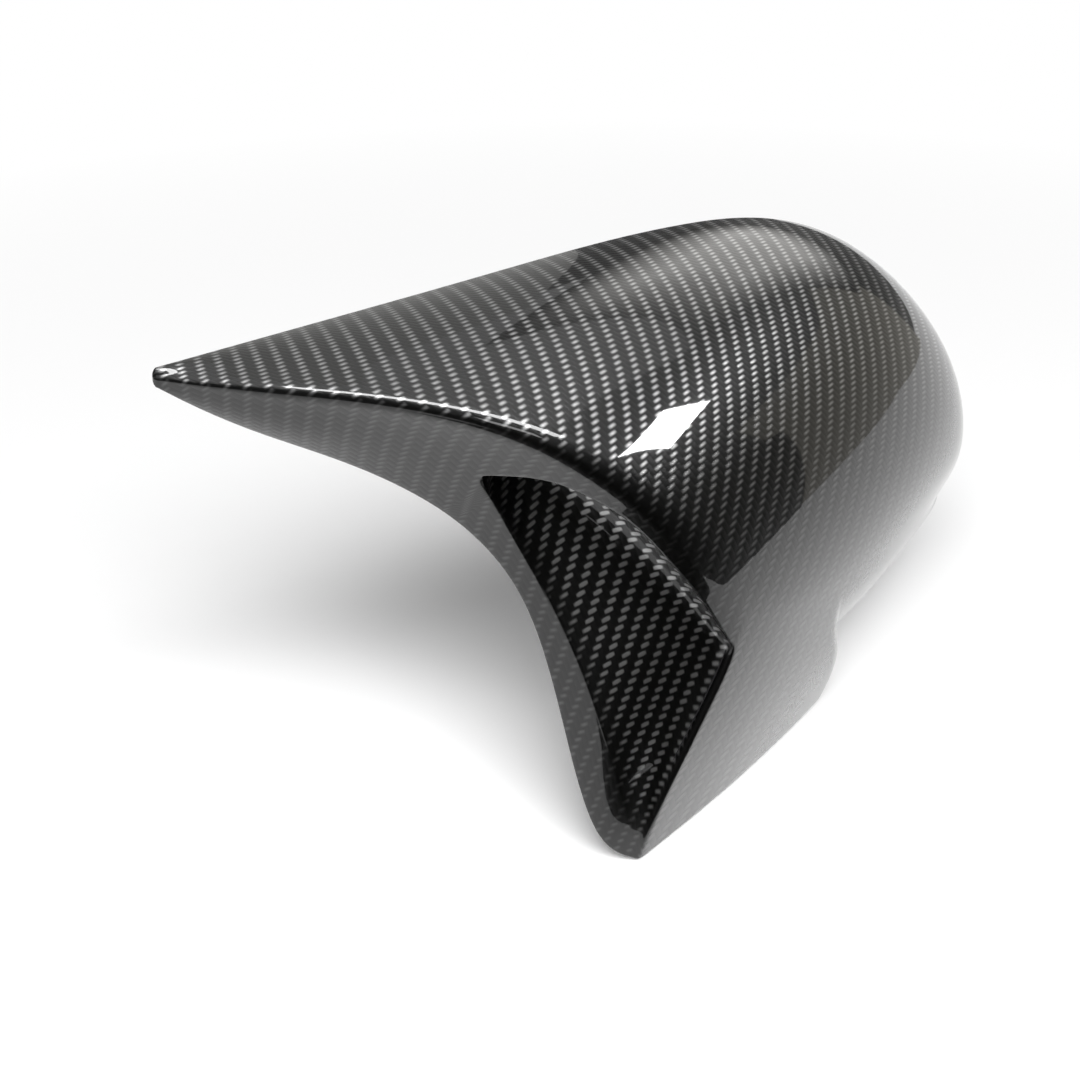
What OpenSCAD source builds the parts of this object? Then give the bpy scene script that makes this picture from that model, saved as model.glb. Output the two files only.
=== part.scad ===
// Horned wing mirror cover for the left door mirror: one moulded shell, open at the back.
// Drawing frame: +X outboard from the upper horn's tip, -Y forward, +Z up from the lower horn's tip.
// The finished part is moved so that its origin lies on the rear rim's flat face, at the crown.

/* [Overall] */
// Width from the upper horn's tip to the outboard end
cover_length = 250; // [225:1:280]
// Depth from the rear rim to the foremost curve
cover_depth = 90; // [80:1:105]
// Height from the lower horn's tip to the crown
cover_height = 134; // [120:1:150]

/* [Horns] */
// How far outboard the arm opening cuts in between the horns
arch_reach = 80; // [70:1:88]
// Distance of the lower horn's tip from the upper horn's tip, along the width
chin_x = 89.3; // [85:0.1:96]
// Distance of the lower horn's tip in front of the rear rim
chin_depth = 86; // [80:1:90]
// Rounding along the crease under the upper horn
crease_radius = 3; // [2:0.5:4]

/* [Recess between the horns] */
// Depth of the scooped recess below the skin around it
recess_depth = 16; // [4:1:20]
// Share of the lower skin's length at which the recess starts to open, from tip to crease end
recess_start = 0.5; // [0.42:0.01:0.6]

/* [Bottom edge] */
// Where the bottom edge steps up for the turn lamp
step_x = 173; // [150:1:190]
// Width over which it steps up
step_run = 9; // [6:1:16]
// Height of the step
step_rise = 31; // [16:1:32]
// How far the raised edge rolls under
edge_roll = 12; // [0:1:14]

/* [Wall] */
// Wall of the moulded shell
wall = 2.4; // [1.8:0.1:3]
// Rounding of the outer edge all round the rim
lip_round = 0.8; // [0.4:0.1:1.2]

/* [Snap tabs] */
// Snap tabs along the rear rim
tab_count = 6; // [3:1:8]
// Width of a tab
tab_width = 9; // [6:1:14]
// Height of a tab off the inner face
tab_height = 9; // [6:0.5:12]
// Thickness of a tab
tab_thick = 1.8; // [1.4:0.1:2.4]
// Overhang of the hook at a tab's end
tab_hook = 1.6; // [1:0.1:2.4]
// Distance of the tabs in front of the rear rim
tab_inset = 9; // [6:1:14]

/* [Hidden] */

// Size at which the guide points below were drawn, and the stretch to the size wanted
drawn_size = [250, 90, 134];
stretch = [cover_length / drawn_size.x, cover_depth / drawn_size.y, cover_height / drawn_size.z];
function sized(points) = [for (p = points) [p.x * stretch.x, p.y * stretch.y, p.z * stretch.z]];

chin = [chin_x * stretch.x, -chin_depth * stretch.y, 0];

// Guide curves of the upper skin, from the upper horn's tip to the outboard end:
// the rear rim, the waist (crease, then on along the front), and the pulls that crown the skin between
rear_rim = sized([[0, 0, 120.5], [42, 0, 124.5], [84, 0, 128.5], [120, 0, 132.5], [148, 0, 134],
    [178, 0, 133], [211, 0, 119], [240, 0, 88], [251.5, 0, 56], [247, 0, 35]]);
waist = sized([[0, -2, 118.5], [22, -33, 122.5], [48, -61, 124], [74, -80, 115], [97, -90, 92],
    [114, -90, 64], [150, -72, 52], [192, -48, 48], [228, -22, 43], [244, -4, 34]]);
rear_pull = sized([[-0.5, -0.7, 0], [-8, -13, 2], [-13, -24, 4], [-16, -32, 6], [-17, -38, 6],
    [-16, -38, 6], [-8, -34, 4], [2, -22, 0], [3, -10, -6], [0, -1, -1]]);
waist_pull = sized([[0.5, 0.6, 0.5], [7, 12, 1], [12, 20, 3], [11, 17, 10], [6, 8, 18],
    [1, -2, 26], [5, -4, 32], [8, -4, 30], [6, -3, 14], [2, 0.5, 2]]);

// The crease ends at this share of the way from tip to outboard end
crease_end = 5 / 9;

// Guide curves of the front skin, from the lower horn's tip to the outboard end
bottom = concat([chin], sized([[123, -71.1, 0], [157, -53.4, 0], [189, -35, 1], [212, -21, 5],
    [226, -12, 12], [236, -6.5, 19], [241.5, -4, 26], [243.5, -3, 31.5]]));
bottom_pull = sized([[5, -4, 29], [6, -5, 26], [6, -6, 24], [5, -7, 22], [5, -7, 20],
    [5, -6, 18], [4, -5, 14], [3, -3, 8], [1, -1, 3]]);

// Guide curves of the skin under the horn, from the upper horn's tip to the lower horn's
arch_drawn = 80;
arch = concat(sized([for (p = [[0, -1.5, 116], [9, -8, 110.5], [20.5, -18, 105.5], [34, -28, 101],
    [48, -39, 94.5], [62, -47, 83.5], [74, -54, 65], [76.5, -66, 39], [77, -82.5, 5]])
    [p.x * arch_reach / arch_drawn, p.y, p.z]]), [chin]);
under_pull = sized([[0, 0.2, -0.8], [0, 6, -6], [0, 10, -10], [0, 11, -13], [-1, 7, -16]]);
arch_pull = sized([[0, -0.2, 0.8], [2, -8, 4], [4, -12, 6], [6, -12, 8], [8, -14, 11],
    [8, -14, 14], [8, -12, 18]]);

// Shares of the under skin's height at which the recess starts and stops, along its length
recess_top = [0.54, 0.28, 0.2, 0.14, 0.14, 0.12, 0.13, 0.188];
recess_foot = [0.58, 0.8, 0.87, 0.85, 0.8, 0.78, 0.84, 0.97];
// Which way the recess is sunk
recess_way = [0.31, 0.94, 0.12];

// Faces: stations along the length, rows down the section from rear rim to free edge
horn_stations = 34;
front_stations = 34;
top_rows = 13;
round_rows = 3;
band_rows = 3;
floor_rows = 9;
rim_rows = 3;
lip_rows = 3;
floor_bias = 1.4;

function spline_at(P, i, f) =
    let (n = len(P),
        a = i > 0 ? P[i - 1] : 2 * P[0] - P[1],
        d = i + 2 < n ? P[i + 2] : 2 * P[n - 1] - P[n - 2])
    (a * pow(1 - f, 3) + P[i] * (3 * f * f * f - 6 * f * f + 4)
        + P[i + 1] * (3 * f * f + 3 * f + 1 - 3 * f * f * f) + d * f * f * f) / 6;
// Smooth curve past the points P, s from 0 to 1
function spline(P, s) =
    let (x = min(max(s, 0), 1) * (len(P) - 1), i = min(floor(x), len(P) - 2))
    spline_at(P, i, x - i);
function bezier(c, t) =
    c[0] * pow(1 - t, 3) + c[1] * 3 * t * pow(1 - t, 2) + c[2] * 3 * t * t * (1 - t) + c[3] * t * t * t;
function smooth(x) = let (u = min(max(x, 0), 1)) u * u * (3 - 2 * u);

// Upper skin's section at station s: rear rim to waist
function upper_section(s) =
    let (a = spline(rear_rim, s), d = spline(waist, s))
    [a, a + spline(rear_pull, s), d + spline(waist_pull, s), d];
// Front skin's section beyond the crease's end, in line with the upper skin
front_run = 0.75;
function front_section(s) =
    let (u = upper_section(s), g = (s - crease_end) / (1 - crease_end), e = spline(bottom, g))
    [u[3], u[3] + front_run * (u[3] - u[2]), e + spline(bottom_pull, g), e];
// Under skin's section below the crease
end_pull = -front_run * spline(waist_pull, crease_end);
under_pulls = concat(under_pull, [end_pull]);
arch_pulls = concat(arch_pull, [bottom_pull[0]]);
function under_section(s) =
    let (q = s / crease_end, a = spline(waist, s), d = spline(arch, q))
    [a, a + spline(under_pulls, q), d + spline(arch_pulls, q), d];
function lower_section(s) = s <= crease_end ? under_section(s) : front_section(s);

// Progress along the recess, 0 at its inboard corner and 1 at the crease's end
function recess_at(s) = (s / crease_end - recess_start) / (1 - recess_start);
recess_gap = 0.16;
function band_end(s) =
    let (g = recess_at(s))
    spline([for (x = recess_top) [x]], g)[0] + recess_gap * min(g, 0);
function floor_end(s) =
    let (g = recess_at(s))
    s > crease_end ? spline([for (x = recess_foot) [x]], 1)[0] - 0.2 * smooth(3 * (g - 1))
    : spline([for (x = recess_foot) [x]], g)[0] - recess_gap * min(g, 0);
// Depth of the recess at station s, x from its top edge to its foot; steep at the top edge,
// and the lower the fullness, the steeper it is at both ends of its length
recess_lead = 0.65;
recess_fullness = 0.4;
function recess_sink(s, x) =
    let (g = recess_at(s), y = sqrt(max(x, 0)))
    g <= 0 || g >= 1 ? 0
    : recess_depth * pow(sin(180 * pow(g, recess_lead)), recess_fullness) * 4 * y * (1 - y);

// Height of the bottom edge over the lower horn's tip, stepping up for the turn lamp
function edge_height(x) =
    step_rise * stretch.z * smooth((x - step_x * stretch.x) / (step_run * stretch.x));
function cut_share(c, height, low = 0, high = 1, n = 14) =
    n == 0 ? (low + high) / 2
    : let (m = (low + high) / 2)
        bezier(c, m).z > height ? cut_share(c, height, m, high, n - 1)
        : cut_share(c, height, low, m, n - 1);
// Share of the front skin's height that is kept above the bottom edge
function kept(s) = s <= crease_end ? 1
    : let (c = front_section(s), height = edge_height(c[3].x))
        c[3].z >= height ? 1 : cut_share(c, height);
// Roll of the raised bottom edge at station s; it fades as the skin runs into the rear rim
roll_way = [0.42, 0.79, -0.45];
roll_full = 35;
function edge_move(s, c) = s <= crease_end ? [0, 0, 0]
    : edge_roll * edge_height(c[3].x) / (step_rise * stretch.z)
        * min(1, -c[0].y / (roll_full * stretch.y)) * roll_way;

// Point of the lower skin, w from 0 at the waist to 1 at the free edge, on section c
function lower_point(s, c, w, k) =
    let (b = band_end(s), f = floor_end(s), x = (w - b) / (f - b))
    bezier(c, w * k) + (x > 0 && x < 1 ? recess_sink(s, x) : 0) * recess_way
        + pow(w, 3) * edge_move(s, c);

// One station's row of points on the outer skin, from rear rim to where the free edge rounds over
function station(s, radius) =
    let (u = upper_section(s), c = lower_section(s), k = kept(s),
        b = band_end(s), f = floor_end(s),
        up = min(0.35, radius / (3 * norm(u[3] - u[2]))),
        down = min(b / 2, radius / (3 * norm(c[1] - c[0]))),
        last = 1 - lip_round / (3 * norm(c[3] - c[2])),
        hard = s < crease_end ? 1 - pow(max(recess_at(s), 0), 4) : 0)
    concat(
        [for (i = [0:top_rows]) bezier(u, (1 - up) * i / top_rows)],
        [for (i = [1:round_rows])
            let (t = i / (round_rows + 1),
                soft = t < 0.5 ? bezier(u, 1 - up * (1 - 2 * t)) : lower_point(s, c, down * (2 * t - 1), k),
                bent = pow(1 - t, 2) * bezier(u, 1 - up) + 2 * t * (1 - t) * u[3]
                    + t * t * lower_point(s, c, down, k))
            hard * bent + (1 - hard) * soft],
        [for (i = [0:band_rows]) lower_point(s, c, down + (b - down) * i / band_rows, k)],
        [for (i = [1:floor_rows]) lower_point(s, c, b + (f - b) * pow(i / floor_rows, floor_bias), k)],
        [for (i = [1:rim_rows]) lower_point(s, c, f + (last - f) * i / rim_rows, k)]);

// The same station in fewer rows with a sharp crease, from which the inner face is offset;
// its second and third rows carry the snap tabs
inner_top_rows = 6;
inner_floor_rows = [1, 2, 4, 6, 9];
function core_station(s) =
    let (u = upper_section(s), c = lower_section(s), k = kept(s), b = band_end(s), f = floor_end(s),
        run = 3 * norm(u[1] - u[0]),
        rear = min(tab_inset / run, 0.25), front = min((tab_inset + tab_thick) / run, 0.35))
    concat(
        [u[0], bezier(u, rear)],
        [for (i = [0:inner_top_rows]) bezier(u, front + (1 - front) * i / inner_top_rows)],
        [lower_point(s, c, b, k)],
        [for (i = inner_floor_rows) lower_point(s, c, b + (f - b) * pow(i / floor_rows, floor_bias), k)],
        [lower_point(s, c, 1, k)]);

// Stations: even along the crease, closer where the bottom edge steps up
function share_at(x, low = 0, high = 1, n = 14) =
    n == 0 ? (low + high) / 2
    : let (m = (low + high) / 2)
        spline(bottom, m).x < x ? share_at(x, m, high, n - 1) : share_at(x, low, m, n - 1);
step_from = share_at((step_x - 14) * stretch.x);
step_to = share_at((step_x + step_run + 6) * stretch.x);
function front_share(v) =
    v < 0.25 ? step_from * v / 0.25
    : v < 0.55 ? step_from + (step_to - step_from) * (v - 0.25) / 0.3
    : step_to + (1 - step_to) * (v - 0.55) / 0.45;
even_stations = concat(
    [for (i = [0:horn_stations]) crease_end * i / horn_stations],
    [for (i = [1:front_stations]) crease_end + (1 - crease_end) * front_share(i / front_stations)]);

// The snap tabs stand at an even pitch between horn and outboard end, each between two stations
tab_from = 0.2;
tab_to = 0.86;
tab_clear = 0.006;
tab_spans = [for (i = [0:tab_count - 1])
    let (s = tab_from + (tab_to - tab_from) * i / (tab_count - 1),
        speed = norm(spline(rear_rim, s + 0.01) - spline(rear_rim, s - 0.01)) / 0.02,
        half = tab_width / 2 / speed)
    [s - half, s + half]];
function in_tab(s) =
    len([for (span = tab_spans) if (s > span[0] - tab_clear && s < span[1] + tab_clear) s]) > 0;
function sorted(v) = len(v) < 2 ? v
    : concat(sorted([for (x = v) if (x < v[0]) x]), [v[0]], sorted([for (x = v) if (x > v[0]) x]));
stations = sorted(concat([for (s = even_stations) if (s == crease_end || !in_tab(s)) s],
    [for (span = tab_spans) each span]));

function unit(v) = v / max(norm(v), 1e-9);
function sum(list, k = 0) = k == len(list) ? list[0] * 0 : list[k] + sum(list, k + 1);

// Move at grid point i, j that sets the faces around it in by one wall
function inset(G, i, j) =
    let (p = G[i][j],
        normals = [for (a = [-1, 1]) for (b = [-1, 1])
            if (i + a >= 0 && i + a < len(G) && j + b >= 0 && j + b < len(G[0]))
                unit(cross(b * (G[i][j + b] - p), a * (G[i + a][j] - p)))],
        n = unit(sum(normals)),
        lean = sum([for (m = normals) m * n]) / len(normals))
    -wall / max(lean, 0.6) * n;

// Rounding of the outer skin's free edge
function rounded_edge(row, n) =
    let (last = row[len(row) - 1], out = unit(last - row[len(row) - 2]))
    [for (i = [1:lip_rows]) let (a = 90 * i / lip_rows)
        last + lip_round * (sin(a) * out - (1 - cos(a)) * n)];

// The shell is hollow between these stations; the horn's tip and the outboard end are solid
hollow_from = 0.075;
hollow_to = 0.96;
skin = [for (s = stations) station(s, crease_radius)];
core = [for (s = stations) core_station(s)];
rings = [for (i = [0:len(stations) - 1])
    let (row = skin[i], inner = core[i], last = len(inner) - 1,
        lip = rounded_edge(row, unit(-inset(core, i, last))),
        open = stations[i] > hollow_from && stations[i] < hollow_to,
        rim = inset(core, i, 0),
        flat = wall / (rim.x * rim.x + rim.z * rim.z) * norm(rim) * [rim.x, 0, rim.z])
    concat(row, lip, [for (j = [last:-1:0])
        open ? inner[j] + (j == 0 ? flat : inset(core, i, j))
        : let (f = (j + 1) / (last + 2)) row[0] * (1 - f) + lip[lip_rows - 1] * f])];

// Side outline of a snap tab over its foot on ring r, from the foot's front to its rear:
// ring rows m - 3 and m - 2 are the foot, and the hook points to the rear rim
function tab_outline(r) =
    let (m = len(r), front = r[m - 3], rear = r[m - 2],
        back = unit(rear - front), up = unit(cross(back, cross(unit(r[m - 4] - r[0]), back))))
    [front + tab_height * up, rear + tab_height * up,
        rear + (tab_height - tab_lead + tab_land) * up + tab_hook * back,
        rear + (tab_height - tab_lead) * up + tab_hook * back,
        rear + (tab_height - tab_lead) * up];
tab_lead = 2;
tab_land = 0.6;

// One closed skin through the rings: a fan over each end ring, strips between,
// and at each tab the strip between the foot rows is replaced by the tab's sides
module shell(rings, tab_at) {
    n = len(rings);
    m = len(rings[0]);
    outlines = [for (i = tab_at) each [tab_outline(rings[i]), tab_outline(rings[i + 1])]];
    tab_points = len(outlines[0]);
    points = concat([for (ring = rings) each ring], [sum(rings[0]) / m, sum(rings[n - 1]) / m],
        [for (o = outlines) each o]);
    function strip(a, b, c, d) = [[a, c, b], [a, d, c]];
    function fan(v) = [for (i = [1:len(v) - 2]) [v[0], v[i + 1], v[i]]];
    function path(i, o) =
        [i * m + m - 3, each [for (k = [0:tab_points - 1]) n * m + 2 + o * tab_points + k], i * m + m - 2];
    skin_faces = [for (i = [0:n - 2]) for (j = [0:m - 1])
        if (j != m - 3 || len(search(i, tab_at)) == 0)
            each strip(i * m + j, i * m + (j + 1) % m, (i + 1) * m + (j + 1) % m, (i + 1) * m + j)];
    end_faces = [for (j = [0:m - 1])
        each [[j, (j + 1) % m, n * m], [(n - 1) * m + (j + 1) % m, (n - 1) * m + j, n * m + 1]]];
    tab_faces = [for (t = [0:len(tab_at) - 1])
        let (near = path(tab_at[t], 2 * t), far = path(tab_at[t] + 1, 2 * t + 1))
        each concat(
            [for (k = [0:len(near) - 2]) each strip(near[k], near[k + 1], far[k + 1], far[k])],
            fan([near[5], near[4], near[3], near[2], near[1], near[0], near[6]]),
            fan([far[5], far[6], far[0], far[1], far[2], far[3], far[4]]))];
    polyhedron(points, concat(skin_faces, end_faces, tab_faces));
}

// Point on the rear rim's flat face, mid-wall near the crown, that carries the part's origin
seat = spline(rear_rim, 0.47) - [0, 0, wall / 2];

module mirror_cover() {
    color([0.09, 0.09, 0.1])
        translate(-seat)
            shell(rings, [for (span = tab_spans) search(span[0], stations)[0]]);
}

mirror_cover();
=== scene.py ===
import math

import bpy
import numpy as np
from bpy.props import FloatProperty, FloatVectorProperty, IntProperty, PointerProperty
from mathutils import Matrix, Vector


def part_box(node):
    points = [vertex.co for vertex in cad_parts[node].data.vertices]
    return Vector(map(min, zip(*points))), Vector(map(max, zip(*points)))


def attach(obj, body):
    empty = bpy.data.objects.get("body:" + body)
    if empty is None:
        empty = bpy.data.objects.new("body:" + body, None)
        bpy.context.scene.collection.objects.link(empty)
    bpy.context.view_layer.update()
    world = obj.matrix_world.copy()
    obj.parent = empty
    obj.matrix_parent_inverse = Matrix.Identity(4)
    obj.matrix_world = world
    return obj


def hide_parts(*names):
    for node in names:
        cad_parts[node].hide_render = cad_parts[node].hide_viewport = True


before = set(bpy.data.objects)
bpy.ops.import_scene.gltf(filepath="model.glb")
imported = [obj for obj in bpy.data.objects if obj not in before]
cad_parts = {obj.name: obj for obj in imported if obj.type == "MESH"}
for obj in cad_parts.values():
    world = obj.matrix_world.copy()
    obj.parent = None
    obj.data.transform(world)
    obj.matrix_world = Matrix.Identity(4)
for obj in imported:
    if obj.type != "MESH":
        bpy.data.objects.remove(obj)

bl_info = {
    "name": "Horned Wing Mirror Cover",
    "version": (1, 0, 0),
    "blender": (4, 5, 0),
    "location": "3D View > Sidebar > Mirror Cover",
    "description": "Builds a horned wing mirror cover in clear-coated twill cloth",
    "category": "Object",
}

MM = 0.001
BODY = "root"
NODE = "mirror_cover"


class CoverSizes(bpy.types.PropertyGroup):
    """Sizes of the moulded cover."""

    crease_radius: FloatProperty(
        name="Crease radius",
        description="Rounding along the crease under the upper horn",
        default=5.5 * MM,
        unit="LENGTH",
    )
    recess_depth: FloatProperty(
        name="Recess depth",
        description="Depth of the scooped recess between the horns",
        default=16 * MM,
        unit="LENGTH",
    )
    edge_radius: FloatProperty(
        name="Edge radius",
        description="Rounding of the recess's edges and of the lower crease",
        default=0.8 * MM,
        unit="LENGTH",
    )
    step_rise: FloatProperty(
        name="Step rise",
        description="Height of the bottom edge's step for the turn lamp",
        default=31 * MM,
        unit="LENGTH",
    )
    wall: FloatProperty(
        name="Wall",
        description="Wall of the moulded shell",
        default=2.4 * MM,
        unit="LENGTH",
    )
    lip_round: FloatProperty(
        name="Lip rounding",
        description="Rounding of the outer edge all round the rim",
        default=0.8 * MM,
        unit="LENGTH",
    )


class ClothLook(bpy.types.PropertyGroup):
    """Look of the twill cloth under its clear coat."""

    # Painted sheen rather than a colour of the cloth: this grey shows only on the crests of the
    # tows that run across the lines, scaled by the painted highlight; elsewhere both tow families
    # take the dark tow colour
    painted_sheen_tow: FloatVectorProperty(
        name="Bright tow",
        description="Colour of the tows that run across the lines of the twill",
        subtype="COLOR",
        size=3,
        default=(0.5, 0.5, 0.5),
    )
    dark_tow: FloatVectorProperty(
        name="Dark tow",
        description="Colour of the tows that run the other way",
        subtype="COLOR",
        size=3,
        default=(0.021, 0.021, 0.021),
    )
    tow_roughness: FloatProperty(
        name="Tow roughness",
        description="Roughness of the cloth under its coat",
        default=0.42,
        min=0.0,
        max=1.0,
    )
    coat_roughness: FloatProperty(
        name="Coat roughness",
        description="Roughness of the clear coat",
        default=0.03,
        min=0.0,
        max=1.0,
    )


class TabSizes(bpy.types.PropertyGroup):
    """Sizes of the snap tabs along the rear rim."""

    count: IntProperty(name="Tabs", description="Number of snap tabs", default=6, min=1, max=12)
    width: FloatProperty(
        name="Tab width", description="Width of a snap tab", default=9 * MM, unit="LENGTH"
    )
    height: FloatProperty(
        name="Tab height",
        description="Height of a snap tab off the inner face",
        default=9 * MM,
        unit="LENGTH",
    )
    thickness: FloatProperty(
        name="Tab thickness",
        description="Thickness of a snap tab",
        default=1.8 * MM,
        unit="LENGTH",
    )
    hook: FloatProperty(
        name="Hook",
        description="Overhang of the hook at a tab's end",
        default=1.6 * MM,
        unit="LENGTH",
    )
    inset: FloatProperty(
        name="Tab inset",
        description="Distance of the tabs in front of the rear rim",
        default=9 * MM,
        unit="LENGTH",
    )


class StudioLook(bpy.types.PropertyGroup):
    """Floor, lamps and camera of the stage."""

    floor_colour: FloatVectorProperty(
        name="Floor colour",
        description="Colour of the pale floor",
        subtype="COLOR",
        size=3,
        default=(0.9, 0.9, 0.9),
    )
    window_power: FloatProperty(
        name="Window power",
        description="Power of the small bright window beside the cover",
        default=4.5,
        unit="POWER",
    )
    wide_glow: FloatProperty(
        name="Wide window glow",
        description="Brightness of the wide window behind the cover",
        default=2.0,
        min=0.0,
    )
    strip_power: FloatProperty(
        name="Strip power",
        description="Power of the strip lamp that lights the crease",
        default=24.0,
        unit="POWER",
    )
    key_power: FloatProperty(
        name="Key power",
        description="Power of the soft lamp that lays the shadow",
        default=172.0,
        unit="POWER",
    )
    front_power: FloatProperty(
        name="Front power",
        description="Power of the soft lamp in front of the cover",
        default=5.0,
        unit="POWER",
    )
    ceiling_power: FloatProperty(
        name="Ceiling power",
        description="Power of the pale ceiling behind the cover",
        default=10.0,
        unit="POWER",
    )
    focal_length: FloatProperty(
        name="Focal length",
        description="Focal length of the camera's lens",
        default=68.3,
        unit="CAMERA",
    )


# Guide curves of the cover, in millimetres: +X outboard from the upper horn's tip,
# -Y forward, +Z up from the lower horn's tip
REAR_RIM = np.array([(0, 0, 120.5), (42, 0, 124.5), (84, 0, 128.5), (120, 0, 132.5),
    (148, 0, 134), (178, 0, 133), (211, 0, 119), (240, 0, 88), (251.5, 0, 56), (247, 0, 35)])
WAIST = np.array([(0, -2, 118.5), (22, -33, 122.5), (48, -61, 124), (74, -80, 115),
    (97, -90, 92), (114, -90, 64), (150, -72, 52), (192, -48, 48), (228, -22, 43), (244, -4, 34)])
REAR_PULL = np.array([(-0.5, -0.7, 0), (-8, -13, 2), (-13, -24, 4), (-16, -32, 6),
    (-17, -38, 6), (-16, -38, 6), (-8, -34, 4), (2, -22, 0), (3, -10, -6), (0, -1, -1)])
WAIST_PULL = np.array([(0.5, 0.6, 0.5), (7, 12, 1), (12, 20, 3), (11, 17, 10), (6, 8, 18),
    (1, -2, 26), (5, -4, 32), (8, -4, 30), (6, -3, 14), (2, 0.5, 2)])
BOTTOM = np.array([(89.3, -86, 0), (123, -71.1, 0), (157, -53.4, 0), (189, -35, 1),
    (212, -21, 5), (226, -12, 12), (236, -6.5, 19), (241.5, -4, 26), (243.5, -3, 31.5)])
BOTTOM_PULL = np.array([(5, -4, 29), (6, -5, 26), (6, -6, 24), (5, -7, 22), (5, -7, 20),
    (5, -6, 18), (4, -5, 14), (3, -3, 8), (1, -1, 3)])
ARCH = np.array([(0, -1.5, 116), (9, -8, 110.5), (20.5, -18, 105.5), (34, -28, 101),
    (48, -39, 94.5), (62, -47, 83.5), (74, -54, 65), (76.5, -66, 39), (77, -82.5, 5),
    (89.3, -86, 0)])
UNDER_PULL = [(0, 0.2, -0.8), (0, 6, -6), (0, 10, -10), (0, 11, -13), (-1, 7, -16)]
ARCH_PULL = [(0, -0.2, 0.8), (2, -8, 4), (4, -12, 6), (6, -12, 8), (8, -14, 11),
    (8, -14, 14), (8, -12, 18)]
# Share of the length at which the horn's underside ends and the front skin starts
CREASE_END = 5 / 9
# How far the front skin carries on below the waist, as a share of the pull above it
FRONT_RUN = 0.75
# The recess, in shares along the horn and down its underside: where it starts, how fast its
# edges part before that, its two edges, how early and how fully it is deep, how softly it
# starts, and which way it sinks
RECESS_START = 0.5
RECESS_GAP = 0.16
RECESS_TOP = np.array([0.54, 0.28, 0.2, 0.14, 0.14, 0.12, 0.13, 0.188])
RECESS_FOOT = np.array([0.58, 0.8, 0.87, 0.85, 0.8, 0.78, 0.84, 0.97])
RECESS_LEAD = 0.65
RECESS_FULLNESS = 0.4
RECESS_START_RUN = 0.06
RECESS_WAY = np.array([0.31, 0.94, 0.12])
# The bottom edge's step for the turn lamp, and how the edge outboard of it rolls under
STEP_X = 173
STEP_RUN = 9
ROLL = np.array([5, 9.5, -5.5])
ROLL_FULL = 35
# Length along the rear rim at which the part's origin lies
SEAT_SHARE = 0.47
# Rows of a station, from the rear rim down to the free edge
TOP_ROWS = 64
ROUND_ROWS = 9
BAND_ROWS = 10
EDGE_ROWS = 3
FLOOR_ROWS = 34
RIM_ROWS = 10
LIP_ROWS = 5
# Most of a surface that the crease's rounding and the recess's edges may take
ROUND_LIMIT = 0.35
EDGE_LIMIT = 0.2
# Stations along the cover, with more at the recess's corner and at the step
TIP_START = 0.004
HORN_STATIONS = 150
CORNER_STATIONS = 22
CORNER_SPAN = (-0.02, 0.12)
FRONT_STATIONS = 170
STEP_STATIONS = 60
STEP_SPAN = (0.66, 0.75)
TURN = 0.0032
TURN_STATIONS = 4
TURN_GAP = 0.0002
STATION_GAP = 0.0006
# The closed ends: where no room is left for a hollow, and how far each end is domed, in mm
SOLID_BEFORE = 0.075
SOLID_AFTER = 0.96
DOME_RINGS = 5
TIP_RISE = 1.5
END_RISE = 1.2
# Rows of the core that the inner face is offset from, and its steepest mitre
CORE_TOP_ROWS = 9
CORE_FLOOR = np.array([0.046, 0.12, 0.32, 0.57, 1.0])
MITRE_LIMIT = 0.6
# Edges sharper than this angle, in degrees, show as edges
EDGE_ANGLE = 40
# The cloth's lay: place of a point in the twill, from its place in 100 mm about a middle
LAY_MIDDLE = np.array([120, -50, 80])
LAY_SCALE = 100
# Run along the skin of one step in the twill, in mm
TWILL_STEP = 2.4
# How strongly the tows' highlight is painted into their colour under the crease, on top and in the
# recess
BAND_PAINTED_GLINT = 0.045
TOP_PAINTED_GLINT = 0.3
RECESS_PAINTED_GLINT = 1.0
# The snap tabs: first and last share along the rim, and how far either side of a foot its
# directions are read; lead and land of the hook, and how far a tab roots in the wall
TAB_FROM = 0.2
TAB_TO = 0.86
TAB_STEP = 0.002
TAB_LEAD = 2 * MM
TAB_LAND = 0.6 * MM
TAB_ROOT = 0.8 * MM


def spline(points, s):
    """Smooth curve past the points, s from 0 to 1."""
    n = len(points)
    x = min(max(s, 0.0), 1.0) * (n - 1)
    i = min(int(x), n - 2)
    f = x - i
    before = points[i - 1] if i > 0 else 2 * points[0] - points[1]
    after = points[i + 2] if i + 2 < n else 2 * points[-1] - points[-2]
    return (
        before * (1 - f) ** 3
        + points[i] * (3 * f**3 - 6 * f * f + 4)
        + points[i + 1] * (3 * f * f + 3 * f + 1 - 3 * f**3)
        + after * f**3
    ) / 6


def bezier(c, t):
    """Points of a cubic Bezier curve at the shares t."""
    t = np.atleast_1d(np.asarray(t, float))[:, None]
    return (
        c[0] * (1 - t) ** 3
        + c[1] * 3 * t * (1 - t) ** 2
        + c[2] * 3 * t * t * (1 - t)
        + c[3] * t**3
    )


def arc3(a, b, c, t):
    """Points of a quadratic Bezier curve from a past b to c."""
    t = np.asarray(t, float)[:, None]
    return a * (1 - t) ** 2 + 2 * b * t * (1 - t) + c * t * t


def smooth(x):
    """Smooth rise from 0 to 1."""
    u = min(max(x, 0.0), 1.0)
    return u * u * (3 - 2 * u)


def unit(v):
    """Vectors of length one."""
    return v / np.maximum(np.linalg.norm(v, axis=-1, keepdims=True), 1e-9)


def upper_section(s):
    """Curve of the upper skin at a station, from the rear rim to the waist."""
    a, d = spline(REAR_RIM, s), spline(WAIST, s)
    return [a, a + spline(REAR_PULL, s), d + spline(WAIST_PULL, s), d]


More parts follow.
